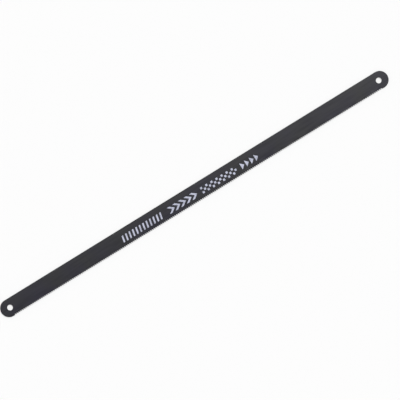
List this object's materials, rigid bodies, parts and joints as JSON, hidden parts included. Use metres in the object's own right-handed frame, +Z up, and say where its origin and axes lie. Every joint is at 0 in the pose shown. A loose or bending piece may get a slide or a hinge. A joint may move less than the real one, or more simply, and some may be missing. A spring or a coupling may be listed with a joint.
{
  "type": "hacksaw blade",
  "caption": "Flat, slim hand hacksaw blade with rounded ends, a pin hole close to each end, and a wavy-set row of fine teeth along one long edge.",
  "frame": {"origin": "under the middle of the blade, on the plane that the sides of the set teeth rest on when the blade lies flat", "axes": "+X along the blade, the way the teeth point; +Y across it, from the tooth tips to the back edge; +Z up through the thickness, out of the printed face"},
  "size_m": [0.314, 0.0126, 0.001],
  "materials": {
    "blade_paint": "thin charcoal paint over steel, satin, with a faint grain along the blade",
    "face_print": "pale screen-printed ink, matt"
  },
  "bodies": {
    "root": {"blade": "blade_paint"}
  },
  "joints": []
}
